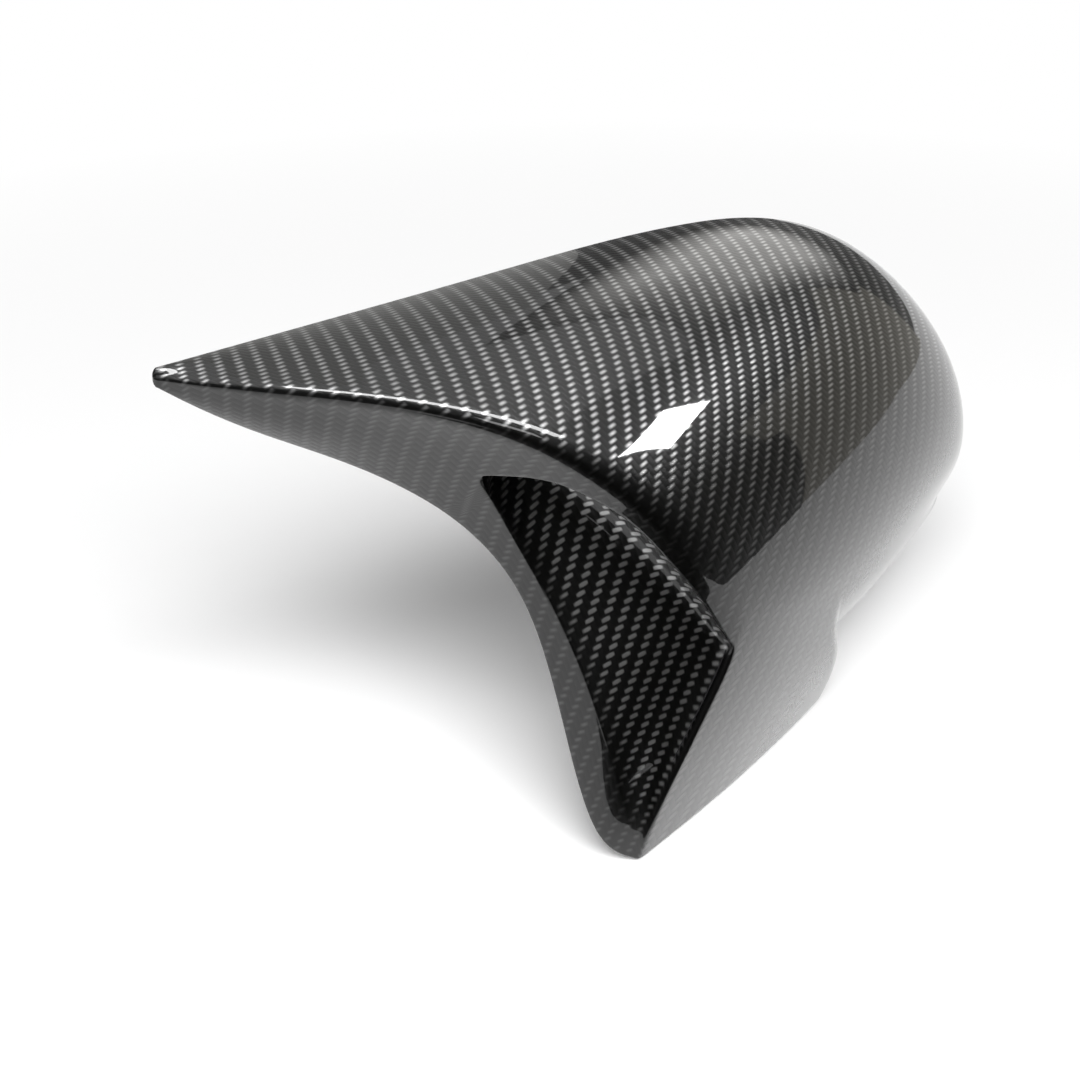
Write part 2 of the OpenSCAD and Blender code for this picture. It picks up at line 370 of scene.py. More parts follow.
def front_section(s):
    """Curve of the front skin at a station, from the waist to the bottom edge."""
    u = upper_section(s)
    g = (s - CREASE_END) / (1 - CREASE_END)
    e = spline(BOTTOM, g)
    return [u[3], u[3] + FRONT_RUN * (u[3] - u[2]), e + spline(BOTTOM_PULL, g), e]


UNDER_PULLS = np.array([*UNDER_PULL, tuple(-FRONT_RUN * spline(WAIST_PULL, CREASE_END))])
ARCH_PULLS = np.array([*ARCH_PULL, tuple(BOTTOM_PULL[0])])


def under_section(s):
    """Curve of the horn's underside at a station, from the waist to the arch."""
    q = s / CREASE_END
    a, d = spline(WAIST, s), spline(ARCH, q)
    return [a, a + spline(UNDER_PULLS, q), d + spline(ARCH_PULLS, q), d]


def lower_section(s):
    """Curve of the lower skin at a station, under the horn or down the front."""
    return under_section(s) if s <= CREASE_END else front_section(s)


def recess_at(s):
    """Progress along the recess: 0 at its inboard corner, 1 at the crease's end."""
    return (s / CREASE_END - RECESS_START) / (1 - RECESS_START)


def band_end(s):
    """Share down the lower skin at which the undercut band ends."""
    g = recess_at(s)
    return float(spline(RECESS_TOP, g)) + RECESS_GAP * min(g, 0.0)


def floor_end(s):
    """Share down the lower skin at which the recess's floor ends."""
    g = recess_at(s)
    if s > CREASE_END:
        return float(RECESS_FOOT[-1]) - 0.2 * smooth(3 * (g - 1))
    return float(spline(RECESS_FOOT, g)) - RECESS_GAP * min(g, 0.0)


class Shell:
    """The cover's skin as rows of points at stations along its length."""

    def __init__(self, sizes):
        self.crease = sizes.crease_radius / MM
        self.depth = sizes.recess_depth / MM
        self.edge = sizes.edge_radius / MM
        self.rise = sizes.step_rise / MM
        self.wall = sizes.wall / MM
        self.lip = sizes.lip_round / MM

    def edge_height(self, x):
        """Height of the bottom edge, which steps up for the turn lamp."""
        return self.rise * smooth((x - STEP_X) / STEP_RUN)

    def kept(self, s):
        """Share of the front skin's height that is kept above the bottom edge."""
        if s <= CREASE_END:
            return 1.0
        c = front_section(s)
        height = self.edge_height(c[3][0])
        if c[3][2] >= height:
            return 1.0
        low, high = 0.0, 1.0
        for _ in range(18):
            m = (low + high) / 2
            if bezier(c, m)[0][2] > height:
                low = m
            else:
                high = m
        return (low + high) / 2

    def roll(self, s, c):
        """How far the outboard bottom edge rolls under."""
        if s <= CREASE_END:
            return 0 * ROLL
        share = self.edge_height(c[3][0]) / self.rise
        return ROLL * share * min(1, -c[0][1] / ROLL_FULL)

    def amount(self, s):
        """Depth of the recess at a station."""
        g = recess_at(s)
        if g <= 0 or g >= 1:
            return 0.0
        full = math.sin(math.pi * g**RECESS_LEAD) ** RECESS_FULLNESS
        return self.depth * full * smooth(g / RECESS_START_RUN)

    def lower(self, s, c, w, k):
        """Points of the lower skin, w from 0 at the waist to 1 at the free edge."""
        w = np.atleast_1d(np.asarray(w, float))
        b, f = band_end(s), floor_end(s)
        x = (w - b) / (f - b)
        y = np.sqrt(np.clip(x, 0, 1))
        sink = self.amount(s) * 4 * y * (1 - y)
        return bezier(c, w * k) + sink[:, None] * RECESS_WAY + (w**3)[:, None] * self.roll(s, c)

    def section(self, s):
        """One station's outer row, from rear rim to where the free edge rounds over."""
        u, c, k = upper_section(s), lower_section(s), self.kept(s)
        b, f = band_end(s), floor_end(s)
        up = min(ROUND_LIMIT, self.crease / (3 * np.linalg.norm(u[3] - u[2])))
        down = min(b / 2, self.crease / (3 * np.linalg.norm(c[1] - c[0])))
        last = 1 - self.lip / (3 * np.linalg.norm(c[3] - c[2]))
        hard = 1 - max(recess_at(s), 0) ** 4 if s < CREASE_END else 0.0
        top = bezier(u, np.linspace(0, 1 - up, TOP_ROWS))
        t = np.linspace(0, 1, ROUND_ROWS + 2)[1:-1]
        above = bezier(u, 1 - up * (1 - 2 * t[t < 0.5]))
        below = self.lower(s, c, down * (2 * t[t >= 0.5] - 1), k)
        soft = np.concatenate([above, below])
        bent = arc3(top[-1], u[3], self.lower(s, c, down, k)[0], t)
        turn = hard * bent + (1 - hard) * soft
        span = np.linalg.norm(bezier(c, f)[0] - bezier(c, b)[0])
        # share of the floor at which its steep start has run one edge radius
        r = self.edge
        steep = (1e-6 + 4 * self.amount(s)) ** 2
        x1 = (math.sqrt(steep**2 + 4 * span**2 * r**2) - steep) / (2 * span**2)
        x1 = min(x1, EDGE_LIMIT)
        reach = min(r / (3 * np.linalg.norm(c[1] - c[0]) + 1e-6), (b - down) / 3)
        foot = min(r / max(span, 1e-6), EDGE_LIMIT)
        after = min(r / (3 * np.linalg.norm(c[3] - c[2])), (last - f) / 3)
        e = np.linspace(0, 1, EDGE_ROWS + 2)[1:-1]
        band = self.lower(s, c, np.linspace(down, b - reach, BAND_ROWS), k)
        top_edge = arc3(band[-1], self.lower(s, c, b, k)[0],
            self.lower(s, c, b + (f - b) * x1, k)[0], e)
        y = np.linspace(math.sqrt(x1), math.sqrt(1 - foot), FLOOR_ROWS)
        floor = self.lower(s, c, b + (f - b) * y * y, k)
        rim = self.lower(s, c, np.linspace(f + after, last, RIM_ROWS), k)
        foot_edge = arc3(floor[-1], self.lower(s, c, f, k)[0], rim[0], e)
        if s > CREASE_END:
            start = b + (f - b) * x1
            top_edge = self.lower(s, c, b - reach + (start - b + reach) * e, k)
            start = b + (f - b) * (1 - foot)
            foot_edge = self.lower(s, c, start + (f + after - start) * e, k)
        return np.concatenate([top, turn, band, top_edge, floor, foot_edge, rim])


def station_list():
    """Stations: even on the horn, closer at the recess's inboard corner, at the lower crease
    and at the bottom edge's step."""
    horn = np.linspace(TIP_START, CREASE_END - TURN, HORN_STATIONS)
    reach = np.linspace(*CORNER_SPAN, CORNER_STATIONS) * (1 - RECESS_START)
    corner = CREASE_END * (RECESS_START + reach)
    crease = np.linspace(CREASE_END - TURN, CREASE_END + TURN, 2 * TURN_STATIONS + 1)[1:-1]
    front = np.linspace(CREASE_END + TURN, 1, FRONT_STATIONS)
    step = np.linspace(*STEP_SPAN, STEP_STATIONS)
    listed = sorted([*horn, *corner, *crease, *front, *step])
    kept = [listed[0]]
    for s in listed[1:]:
        near_crease = abs(s - CREASE_END) < 1.001 * TURN
        if s - kept[-1] > (TURN_GAP if near_crease else STATION_GAP):
            kept.append(s)
    return kept


def outer_rows(shell):
    """Outer skin, row by row, with the lower crease rounded between its two sides."""
    stations = station_list()
    before, middle, after = (shell.section(CREASE_END + step) for step in (-TURN, 0, TURN))
    grid = []
    for s in stations:
        if abs(s - CREASE_END) < TURN * 0.999:
            t = (s - CREASE_END + TURN) / (2 * TURN)
            grid.append(before * (1 - t) ** 2 + 2 * middle * t * (1 - t) + after * t * t)
        else:
            grid.append(shell.section(s))
    return np.array(stations), np.array(grid)


def grid_normals(grid):
    """Directions square to the outer skin, outwards."""
    along = np.gradient(grid, axis=0)
    down = np.gradient(grid, axis=1)
    return unit(np.cross(down, along))


def seat(shell):
    """Point on the rear rim's flat face that carries the part's origin."""
    return spline(REAR_RIM, SEAT_SHARE) - np.array([0, 0, shell.wall / 2])


def weave_place(grid, stations):
    """Place in the twill at each point of the outer skin: lines crossed, steps along a line.

    The cloth's lines are nearly plane cuts through the skin, slightly turned towards the
    front, and under the crease the steps follow the skin down.
    """
    p = (grid - LAY_MIDDLE) / LAY_SCALE
    x, y, z = p[..., 0], p[..., 1], p[..., 2]
    lines = 21.7 * x - 10 * y - 5 * z + 13.7 * y * z + z * z
    steps = (
        -12.4 * x - 41.4 * y - 38.6 * z + 8.9 * x * x - 20.9 * y * y
        - 11.2 * x * y - 9.9 * x * z
    )
    waist = TOP_ROWS + ROUND_ROWS // 2
    step = np.linalg.norm(np.diff(grid, axis=1), axis=2)
    run = np.concatenate([np.zeros((len(grid), 1)), np.cumsum(step, axis=1)], axis=1)
    run = run - run[:, waist : waist + 1]
    under = (stations <= CREASE_END)[:, None] & (np.arange(grid.shape[1]) > waist)[None, :]
    steps = np.where(under, steps[:, waist : waist + 1] + run / TWILL_STEP, steps)
    return lines, steps


def ramp(x):
    """Smooth rise from 0 to 1 for whole arrays."""
    u = np.clip(x, 0, 1)
    return u * u * (3 - 2 * u)


def weave_painted_glint(shell, stations, normal):
    """Painted highlight on the tows: most in the recess and least below the crease.

    The painted highlight rises as the skin turns up towards the light from above, and in the recess
    away from its edges and ends.
    """
    # painted highlight: brighter where the skin faces up
    painted_glint = BAND_PAINTED_GLINT + (TOP_PAINTED_GLINT - BAND_PAINTED_GLINT) * ramp((normal[..., 2] - 0.1) / 0.6)
    first = TOP_ROWS + ROUND_ROWS + BAND_ROWS + EDGE_ROWS
    y = np.linspace(0, 1, FLOOR_ROWS)
    across = ramp(y / 0.2) * ramp((1 - y) / 0.12)
    sunk = np.array([shell.amount(s) / shell.depth for s in stations])
    share = ramp(sunk / 0.6)[:, None] * across[None, :]
    rows = slice(first, first + FLOOR_ROWS)
    painted_glint[:, rows] += share * (RECESS_PAINTED_GLINT - painted_glint[:, rows])
    return painted_glint


def domed(ring, way, rise):
    """Rings that round a closed end off, from the end ring outwards."""
    centre = ring.mean(axis=0)
    rings = []
    for i in range(1, DOME_RINGS + 1):
        a = math.pi / 2 * i / (DOME_RINGS + 0.5)
        rings.append(centre + (ring - centre) * math.cos(a) + way * rise * math.sin(a))
    return rings


def rounded_lip(shell, outer, normal):
    """Rows that round the free edge over to the inner face."""
    out = unit(outer[:, -1] - outer[:, -2])
    rows = []
    for i in range(1, LIP_ROWS + 1):
        a = math.pi / 2 * i / LIP_ROWS
        over = math.sin(a) * out - (1 - math.cos(a)) * normal[:, -1]
        rows.append(outer[:, -1] + shell.lip * over)
    return np.stack(rows, axis=1)


def inner_rows(shell, stations):
    """Inner face one wall inside the skin, with its first row in the rear rim's flat face."""
    core = core_rows(shell, stations)
    inner = inset_rows(core, shell.wall)
    rim = inner[:, 0] - core[:, 0]
    flat = rim * np.array([1, 0, 1])
    length = np.linalg.norm(rim, axis=1, keepdims=True)
    inner[:, 0] = core[:, 0] + flat * shell.wall * length / (flat**2).sum(1, keepdims=True)
    return inner


def build_shell(sizes):
    """Rings of points round the cover, with each one's place in the twill and its painted
    highlight.
    """
    shell = Shell(sizes)
    stations, outer = outer_rows(shell)
    normal = grid_normals(outer)
    lip = rounded_lip(shell, outer, normal)
    inner = inner_rows(shell, stations)
    closed = (stations < SOLID_BEFORE) | (stations > SOLID_AFTER)
    share = np.linspace(0, 1, inner.shape[1] + 2)[1:-1][None, :, None]
    chord = outer[:, :1] * (1 - share) + lip[:, -1:] * share
    inner = np.where(closed[:, None, None], chord, inner)
    ring = np.concatenate([outer, lip, inner[:, ::-1]], axis=1)
    skin_rows = outer.shape[1]
    # painted highlight of each skin point; the lip and inner face take the last row's
    painted_glint = weave_painted_glint(shell, stations, normal)
    place = np.stack([*weave_place(outer, stations), painted_glint], axis=-1)
    rest = np.repeat(place[:, -1:], ring.shape[1] - skin_rows, axis=1)
    place = np.concatenate([place, rest], axis=1)
    tip = domed(ring[0], unit(ring[0].mean(0) - ring[3].mean(0)), TIP_RISE)
    end = domed(ring[-1], unit(ring[-1].mean(0) - ring[-4].mean(0)), END_RISE)
    ring = np.concatenate([tip[::-1], ring, end])
    place = np.concatenate([place[:1]] * DOME_RINGS + [place] + [place[-1:]] * DOME_RINGS)
    points = (ring - seat(shell)) * MM
    return points, place, skin_rows + LIP_ROWS


def core_rows(shell, stations):
    """Outer skin in few rows with a sharp crease, from which the inner face is offset."""
    rows = []
    for s in stations:
        u, c, k = upper_section(s), lower_section(s), shell.kept(s)
        b, f = band_end(s), floor_end(s)
        down = np.concatenate([[b], b + (f - b) * CORE_FLOOR, [1.0]])
        top = bezier(u, np.linspace(0, 1, CORE_TOP_ROWS))
        rows.append(np.concatenate([top, shell.lower(s, c, down, k)]))
    return np.array(rows)


def inset_rows(core, wall):
    """The core moved in by one wall, mitred where its faces meet at an edge."""
    n, m = core.shape[:2]
    total = np.zeros_like(core)
    faces = []
    for a in (-1, 1):
        for b in (-1, 1):
            i = np.clip(np.arange(n) + a, 0, n - 1)
            j = np.clip(np.arange(m) + b, 0, m - 1)
            side = (core[:, j] - core) * b
            along = (core[i] - core) * a
            face = unit(np.cross(side, along))
            faces.append(face)
            total += face
    normal = unit(total)
    counts = sum((np.linalg.norm(face, axis=2) > 0.5).astype(float) for face in faces)
    lean = sum((face * normal).sum(2) for face in faces) / np.maximum(counts, 1)
    return core - wall * normal / np.maximum(lean, MITRE_LIMIT)[..., None]


def mesh_from_rings(name, points, place, skin_rows):
    """Closed mesh through the rings, with its place in the twill kept as a UV map."""
    n, m = points.shape[:2]
    index = np.arange(n * m).reshape(n, m)
    beside = np.roll(index, -1, axis=1)
    quads = np.stack([beside[:-1], beside[1:], index[1:], index[:-1]], axis=-1).reshape(-1, 4)
    tip, end, last = n * m, n * m + 1, (n - 1) * m
    faces = [tuple(int(v) for v in quad) for quad in quads]
    faces += [(tip, (j + 1) % m, j) for j in range(m)]
    faces += [(end, last + j, last + (j + 1) % m) for j in range(m)]
    vertices = np.concatenate([points.reshape(-1, 3), [points[0].mean(0), points[-1].mean(0)]])
    mesh = bpy.data.meshes.new(name)
    mesh.from_pydata([tuple(v) for v in vertices], [], faces)
    mesh.validate()
    place = np.concatenate([place.reshape(-1, 3), place[0, :1], place[-1, :1]])
    uv = mesh.uv_layers.new(name="twill")
    loops = np.zeros(len(mesh.loops), np.int32)
    mesh.loops.foreach_get("vertex_index", loops)
    uv.data.foreach_set("uv", place[loops, :2].astype(np.float32).ravel())
    # how strongly the tows' highlight is painted at each point
    painted_glint = mesh.attributes.new("painted_glint", "FLOAT", "POINT")
    painted_glint.data.foreach_set("value", place[:, 2].astype(np.float32))
    mesh.polygons.foreach_set("use_smooth", np.ones(len(mesh.polygons), bool))
    inner = np.zeros(len(mesh.polygons), np.int32)
    rows = np.tile(np.arange(m), n - 1)
    inner[: len(rows)] = (rows >= skin_rows).astype(np.int32)
    mesh.polygons.foreach_set("material_index", inner)
    mesh.update()
    return mesh


class Socket:
    """Wraps a node's output so that shader maths reads as Python expressions."""

    def __init__(self, shader, out):
        self.shader = shader
        self.out = out

    def output(self, key):
        """Another output of the same node."""
        return Socket(self.shader, self.out.node.outputs[key])

    def maths(self, operation, *values):
        return self.shader.node("ShaderNodeMath", {"operation": operation}, *values)

    def __add__(self, other):
        return self.maths("ADD", self, other)

    def __radd__(self, other):
        return self.maths("ADD", other, self)

    def __sub__(self, other):
        return self.maths("SUBTRACT", self, other)

    def __rsub__(self, other):
        return self.maths("SUBTRACT", other, self)

    def __mul__(self, other):
        return self.maths("MULTIPLY", self, other)

    def __rmul__(self, other):
        return self.maths("MULTIPLY", other, self)

    def __truediv__(self, other):
        return self.maths("DIVIDE", self, other)

    def __rtruediv__(self, other):
        return self.maths("DIVIDE", other, self)

    def __pow__(self, other):
        return self.maths("POWER", self, other)

    def __lt__(self, other):
        return self.maths("LESS_THAN", self, other)

    def __abs__(self):
        return self.maths("ABSOLUTE", self)

    def floor(self):
        return self.maths("FLOOR", self)

    def wrap(self, period):
        return self.maths("WRAP", self, period, 0.0)

    def smaller(self, other):
        return self.maths("MINIMUM", self, other)

    def larger(self, other):
        return self.maths("MAXIMUM", self, other)


class Shader:
    """A material's node tree, with one method that makes every node."""

    def __init__(self, name):
        self.material = bpy.data.materials.new(name)
        self.material.use_nodes = True
        self.tree = self.material.node_tree
        self.tree.nodes.clear()

    def node(self, kind, settings, *values, out=0, named=None):
        made = self.tree.nodes.new(kind)
        for key, value in settings.items():
            setattr(made, key, value)
        pairs = list(zip(made.inputs, values))
        pairs += [(made.inputs[key], value) for key, value in (named or {}).items()]
        for socket, value in pairs:
            if isinstance(value, Socket):
                self.tree.links.new(value.out, socket)
            elif value is not None:
                socket.default_value = value
        return Socket(self, made.outputs[out])

    def finish(self, surface):
        end = self.tree.nodes.new("ShaderNodeOutputMaterial")
        self.tree.links.new(surface.out, end.inputs["Surface"])
        return self.material


def coated_twill(look):
    """2x2 twill cloth under a smooth clear coat, with a painted sheen on the crests of the tows."""
    s = Shader("coated_twill")
    place = s.node("ShaderNodeUVMap", {"uv_map": "twill"})
    lines = s.node("ShaderNodeSeparateXYZ", {}, place)
    steps = lines.output("Y")
    first = 2 * lines + steps
    second = 2 * lines - steps
    across_first = first - first.floor()
    across_second = second - second.floor()
    # each tow passes over two of the others and under the next two
    turn = (first.floor() + second.floor()).wrap(4.0)
    first_up = turn < 1.5
    along = (first_up * (turn + across_second) + (1 - first_up) * (turn - 2 + across_first)) / 2
    across = first_up * across_first + (1 - first_up) * across_second
    crown = 4 * across * (1 - across)
    swell = 4 * along * (1 - along)
    height = (crown ** 0.7) * (0.35 + 0.65 * swell)
    # painted sheen: only the crest of each float shines, as a painted highlight
    painted_crest_sheen = (crown ** 3.0) * (swell ** 1.2)
    grain = s.node("ShaderNodeTexNoise", {"noise_dimensions": "2D"},
        named={"Vector": place, "Scale": 6.0, "Detail": 2.0})
    # painted highlight share at each point of the skin
    painted_glint = s.node("ShaderNodeAttribute", {"attribute_name": "painted_glint"}, out=2)
    # painted sheen on the crests, scaled by the painted highlight and by random grain
    painted_sheen = first_up * painted_crest_sheen * painted_glint * (0.8 + 0.6 * grain) * 2.1
    colour = s.node("ShaderNodeMix", {"data_type": "RGBA"}, out=2,
        named={"Factor": painted_sheen, 6: (*look.dark_tow, 1), 7: (*look.painted_sheen_tow, 1)})
    bump = s.node("ShaderNodeBump", {},
        named={"Strength": 0.22, "Distance": 0.0003, "Height": height})
    surface = s.node("ShaderNodeBsdfPrincipled", {}, named={
        "Base Color": colour,
        "Roughness": look.tow_roughness,
        "Metallic": 1.0,
        "Specular IOR Level": 0.5,
        "Coat Weight": 1.0,
        "Coat Roughness": look.coat_roughness,
        "Coat IOR": 1.5,
        "Normal": bump,
    })
    return s.finish(surface)


def moulded_black(name):
    """Fine-grained black moulding of the inner face."""
    s = Shader(name)
    place = s.node("ShaderNodeTexCoord", {}, out=3)
    grain = s.node("ShaderNodeTexNoise", {}, named={"Vector": place, "Scale": 900.0, "Detail": 3.0})
    bump = s.node("ShaderNodeBump", {},
        named={"Strength": 0.4, "Distance": 0.0002, "Height": grain})
    surface = s.node("ShaderNodeBsdfPrincipled", {}, named={
        "Base Color": (0.018, 0.018, 0.019, 1),
        "Roughness": 0.5 + 0.12 * grain,
        "Normal": bump,
    })
    return s.finish(surface)


class NodeTree:
    """A Geometry Nodes tree, with one method that makes every node."""

    def __init__(self, name):
        self.tree = bpy.data.node_groups.new(name, "GeometryNodeTree")
        face = self.tree.interface
        face.new_socket("Geometry", in_out="INPUT", socket_type="NodeSocketGeometry")
        face.new_socket("Geometry", in_out="OUTPUT", socket_type="NodeSocketGeometry")
        self.start = self.tree.nodes.new("NodeGroupInput")
        self.end = self.tree.nodes.new("NodeGroupOutput")

    def size(self, name):
        """A named input in metres, as its socket's identifier and its link."""
        socket = self.tree.interface.new_socket(name, in_out="INPUT", socket_type="NodeSocketFloat")
        socket.subtype = "DISTANCE"
        return socket.identifier, self.start.outputs[name]

    def node(self, kind, settings, named):
        made = self.tree.nodes.new(kind)
        for key, value in settings.items():
            setattr(made, key, value)
        for key, value in named.items():
            for item in value if isinstance(value, list) else [value]:
                if isinstance(item, bpy.types.NodeSocket):
                    self.tree.links.new(item, made.inputs[key])
                else:
                    made.inputs[key].default_value = item
        return made.outputs[0]

    def point(self, x, y, z):
        return self.node("ShaderNodeCombineXYZ", {}, {"X": x, "Y": y, "Z": z})

    def maths(self, operation, a, b):
        return self.node("ShaderNodeMath", {"operation": operation}, {0: a, 1: b})


def tab_tree(material):
    """Tree that stands a hooked snap tab on every point, turned by the point's directions."""
    g = NodeTree("snap_tabs")
    inputs, sizes = {}, {}
    for name in ("Width", "Height", "Thickness", "Hook", "Hook lead", "Hook land", "Root"):
        inputs[name], sizes[name] = g.size(name)
    half = g.maths("MULTIPLY", sizes["Width"], 0.5)
    left = g.maths("SUBTRACT", 0.0, half)
    path = g.node("GeometryNodeCurvePrimitiveLine", {"mode": "POINTS"},
        {"Start": g.point(left, 0.0, 0.0), "End": g.point(half, 0.0, 0.0)})
    thick, high = sizes["Thickness"], sizes["Height"]
    root = g.maths("SUBTRACT", 0.0, sizes["Root"])
    under = g.maths("SUBTRACT", high, sizes["Hook lead"])
    reach = g.maths("ADD", thick, sizes["Hook"])
    land = g.maths("ADD", under, sizes["Hook land"])
    blade = ((0.0, root), (thick, root), (thick, high), (0.0, high))
    hook = ((thick, under), (reach, under), (reach, land), (thick, high))
    bars = []
    for corners in (blade, hook):
        points = {"Point %d" % (i + 1): g.point(y, z, 0.0) for i, (y, z) in enumerate(corners)}
        outline = g.node("GeometryNodeCurvePrimitiveQuadrilateral", {"mode": "POINTS"}, points)
        bars.append(g.node("GeometryNodeCurveToMesh", {},
            {"Curve": path, "Profile Curve": outline, "Fill Caps": True}))
    tab = g.node("GeometryNodeJoinGeometry", {}, {"Geometry": bars})
    # the sweep lays an outline's x and y along the tab's own -Y and -Z
    outwards, forwards = (g.node("GeometryNodeInputNamedAttribute",
        {"data_type": "FLOAT_VECTOR"}, {"Name": name}) for name in ("outwards", "forwards"))
    turned = g.node("FunctionNodeAxesToRotation", {"primary_axis": "Z", "secondary_axis": "Y"},
        {"Primary Axis": outwards, "Secondary Axis": forwards})
    placed = g.node("GeometryNodeInstanceOnPoints", {},
        {"Points": g.start.outputs["Geometry"], "Instance": tab, "Rotation": turned})
    solid = g.node("GeometryNodeRealizeInstances", {}, {"Geometry": placed})
    finished = g.node("GeometryNodeSetMaterial", {}, {"Geometry": solid, "Material": material})
    g.tree.links.new(finished, g.end.inputs["Geometry"])
    return g.tree, inputs


def tab_feet(shell, sizes):
    """Foot of each snap tab on the inner face, with its directions outwards and forwards."""
    feet, outwards, forwards = [], [], []
    for s in np.linspace(TAB_FROM, TAB_TO, sizes.count):
        front, rear = [], []
        for step in (-TAB_STEP, 0.0, TAB_STEP):
            c = upper_section(s + step)
            run = 3 * np.linalg.norm(c[1] - c[0])
            inset = sizes.inset / MM / run
            front.append(bezier(c, inset + sizes.thickness / MM / run)[0])
            rear.append(bezier(c, inset)[0])
        along = unit(front[2] - front[0])
        forward = unit(front[1] - rear[1])
        out = unit(np.cross(forward, along))
        feet.append((front[1] - shell.wall * out - seat(shell)) * MM)
        outwards.append(out)
        forwards.append(unit(np.cross(out, np.cross(forward, out))))
    return feet, outwards, forwards


class COVER_OT_tabs(bpy.types.Operator):
    """Stand the snap tabs along the inner face, in front of the rear rim"""

    bl_idname = "cover.tabs"
    bl_label = "Snap tabs"

    def execute(self, context):
        scene = context.scene
        sizes = scene.tab_sizes
        feet, outwards, forwards = tab_feet(Shell(scene.cover_sizes), sizes)
        mesh = bpy.data.meshes.new("tab_feet")
        mesh.from_pydata([tuple(p) for p in feet], [], [])
        for name, values in (("outwards", outwards), ("forwards", forwards)):
            mesh.attributes.new(name, "FLOAT_VECTOR", "POINT").data.foreach_set(
                "vector", np.array(values, np.float32).ravel())
        base = bpy.data.objects.new("tab_feet", mesh)
        scene.collection.objects.link(base)
        tree, inputs = tab_tree(moulded_black("tab_black"))
        grow = base.modifiers.new("Snap tabs", "NODES")
        grow.node_group = tree
        for name, value in (("Width", sizes.width), ("Height", sizes.height),
                ("Thickness", sizes.thickness), ("Hook", sizes.hook), ("Hook lead", TAB_LEAD),
                ("Hook land", TAB_LAND), ("Root", TAB_ROOT)):
            grow[inputs[name]] = value
        shown = base.evaluated_get(context.evaluated_depsgraph_get())
        result = bpy.data.meshes.new_from_object(shown)
        base.modifiers.clear()
        bpy.data.objects.remove(base)
        if not result.polygons:
            raise RuntimeError("the snap tabs came out empty")
        result.name = "snap_tabs"
        tabs = bpy.data.objects.new("snap_tabs", result)
        scene.collection.objects.link(tabs)
        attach(tabs, BODY)
        return {"FINISHED"}


class COVER_OT_shell(bpy.types.Operator):
    """Build the horned shell with its coated twill and its moulded inner face"""

    bl_idname = "cover.shell"
    bl_label = "Shell"

    def execute(self, context):
        scene = context.scene
        points, place, skin_rows = build_shell(scene.cover_sizes)
        mesh = mesh_from_rings("cover_shell", points, place, skin_rows)
        mesh.set_sharp_from_angle(angle=math.radians(EDGE_ANGLE))
        mesh.materials.append(coated_twill(scene.cloth_look))
        mesh.materials.append(moulded_black("inner_black"))
        shell = bpy.data.objects.new("cover_shell", mesh)
        scene.collection.objects.link(shell)
        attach(shell, BODY)
        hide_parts(NODE)
        return {"FINISHED"}


# The stage, in metres. The lamps face the cover's middle
COVER_MIDDLE = (-0.03, -0.045, -0.06)
FLOOR_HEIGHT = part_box(NODE)[0].z - 0.3 * MM
FLOOR_HALF = 6.0
# How much of the floor's white shows in the deepest shadow, how far out the shadow is kept,
# and over what distance the floor then turns white
FLOOR_GLOW = 0.16
SHADE_REACH = 0.2
SHADE_FADE = 0.4
WORLD_GLOW = 0.07
CEILING_PLACE = (0.1, 1.3, 1.6)
FRONT_PLACE = (-0.5, -1.1, 1.0)
STRIP_PLACE = (-0.02, 0.12, 1.2)
STRIP_ALONG = (1, -1, 0)
# Starting point, bearing from +X, height in degrees and distance
KEY_WAY = ((0, -0.05, -0.1), -112, 46, 3.0)
WINDOW_WAY = ((-0.052, -0.072, -0.021), -13.4, 36.6, 1.25)
WIDE_WINDOW_WAY = ((-0.03, -0.05, 0), 37, 31, 2.0)
WIDE_WINDOW_HALF = (0.8, 0.62)
WIDE_WINDOW_EDGE = 1.8
# Cards that only the coat's reflections show: colour, then each post's x, y and top
CARD_FOOT = FLOOR_HEIGHT + 0.5 * MM
DARK_CARD = (0.03, 0.03, 0.028, 1)
CARDS = {
    "dark_card": (DARK_CARD, [(-1.5, -0.205, 0.1), (0.55, -0.205, 0.1)]),
    "rear_card": ((0.4, 0.4, 0.39, 1), [(-2.5, 2.0, 1.6), (0.9, 2.0, 1.6)]),
    "grey_card": ((0.42, 0.4, 0.35, 1), [(0.55, -0.22, 0.2), (2.2, 0.03, 0.9), (2.2, 0.7, 1.3)]),
}
# The mat's low and high x and y on the floor in front of the cover
MAT = ((-0.25, -0.205), (-0.02, -0.1))
# The camera: bearing and height in degrees, the picture's size, and where in it the upper
# horn's tip lies, in pixels and in metres from the lens
VIEW_TURN = 28
VIEW_TILT = 27
PICTURE = 1080
SENSOR = 36
HORN_TIP = (0, -2, 118)
TIP_PIXEL = (155, 381)
TIP_DISTANCE = 495 * MM


def heading(start, turn, tilt, distance):
    """Point at a distance from the start, along a bearing and a height in degrees."""
    turn, tilt = math.radians(turn), math.radians(tilt)
    level = math.cos(tilt)
    way = Vector((level * math.cos(turn), level * math.sin(turn), math.sin(tilt)))
    return Vector(start) + distance * way


def facing_cover(place, axis):
    """Turn that points an object's axis from its place at the cover."""
    return (Vector(COVER_MIDDLE) - Vector(place)).to_track_quat(axis, "Y").to_euler()


